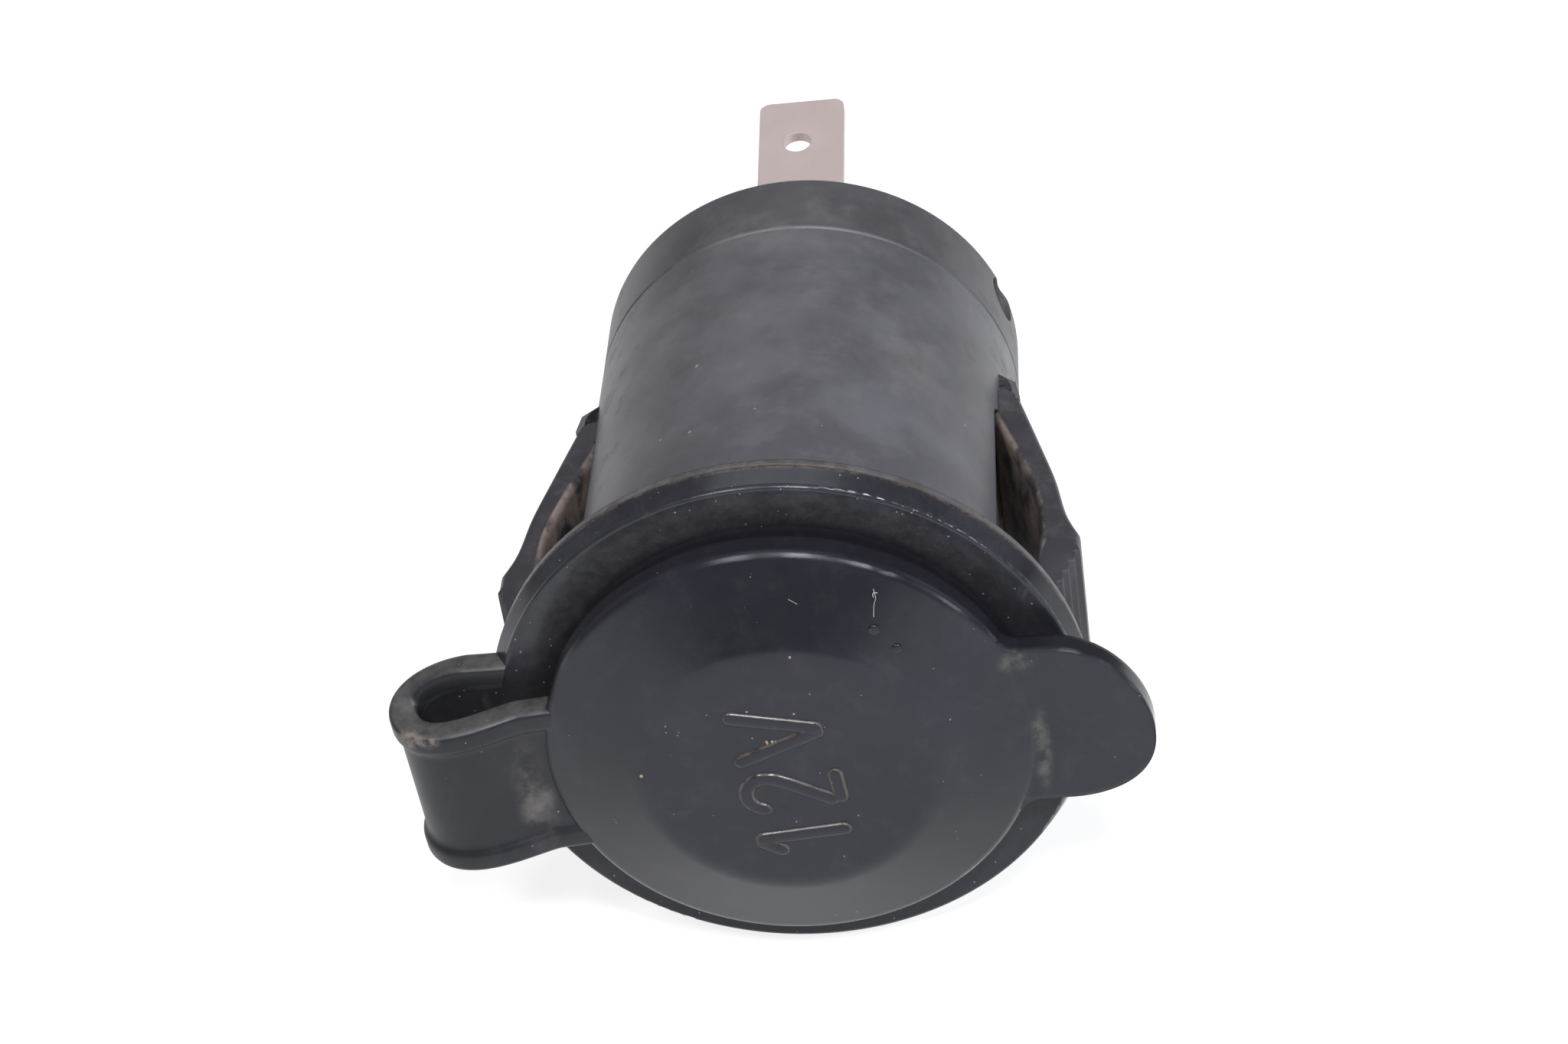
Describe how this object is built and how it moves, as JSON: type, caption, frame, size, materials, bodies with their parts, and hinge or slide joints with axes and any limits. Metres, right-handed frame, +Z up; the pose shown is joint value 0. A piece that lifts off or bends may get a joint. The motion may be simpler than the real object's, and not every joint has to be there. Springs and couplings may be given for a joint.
{
  "type": "car 12v power socket",
  "caption": "Panel-mount 12 V power socket: plastic barrel with snap wings, contact shell, centre contact, blade terminals and a strapped rubber cap.",
  "frame": {"origin": "on the barrel's axis, at the flange's rear face, which seats on the panel", "axes": "+Y along the barrel from the mouth to the terminals, +Z up, strap at -X and pull tab at +X"},
  "size_m": [0.0494, 0.0611, 0.0394],
  "materials": {
    "housing_plastic": "moulded dark grey plastic, faintly grained",
    "cover_plastic": "moulded dark grey plastic, smooth",
    "black_rubber": "aged satin black rubber",
    "plated_shell": "nickel-plated, drawn",
    "insulator": "brown pressed fibre",
    "contact_brass": "plain brass",
    "washer_steel": "zinc-plated spring steel",
    "plated_blade": "tin-plated brass, dulled"
  },
  "bodies": {
    "socket": {"housing": "housing_plastic", "rear_cover": "cover_plastic", "bezel": "black_rubber", "contact_shell": "plated_shell", "front_insulator": "insulator", "rear_insulator": "insulator", "contact_stud": "contact_brass", "lock_washer": "washer_steel", "positive_terminal": "plated_blade", "negative_terminal": "plated_blade"},
    "cap": {"sealing_cap": "black_rubber", "cap_strap": "black_rubber"},
    "left_wing": {"wing_left": "housing_plastic"},
    "right_wing": {"wing_right": "housing_plastic"}
  },
  "joints": [
    {"name": "cap_swing", "type": "hinge", "parent": "socket", "child": "cap", "pos_m": [-0.0251, -0.0031, -0.0022], "axis": [0.0872, 0, -0.9962], "range_deg": [0, 150], "deforming": ["cap_strap"]},
    {"name": "wing_left_flex", "type": "hinge", "parent": "socket", "child": "left_wing", "pos_m": [-0.0144, 0.0246, 0], "axis": [0, 0, 1], "range_deg": [0, 12.5], "stiffness_Nm_per_rad": 1.2},
    {"name": "wing_right_flex", "type": "hinge", "parent": "socket", "child": "right_wing", "pos_m": [0.0144, 0.0246, 0], "axis": [0, 0, -1], "range_deg": [0, 12.5], "stiffness_Nm_per_rad": 1.2}
  ]
}
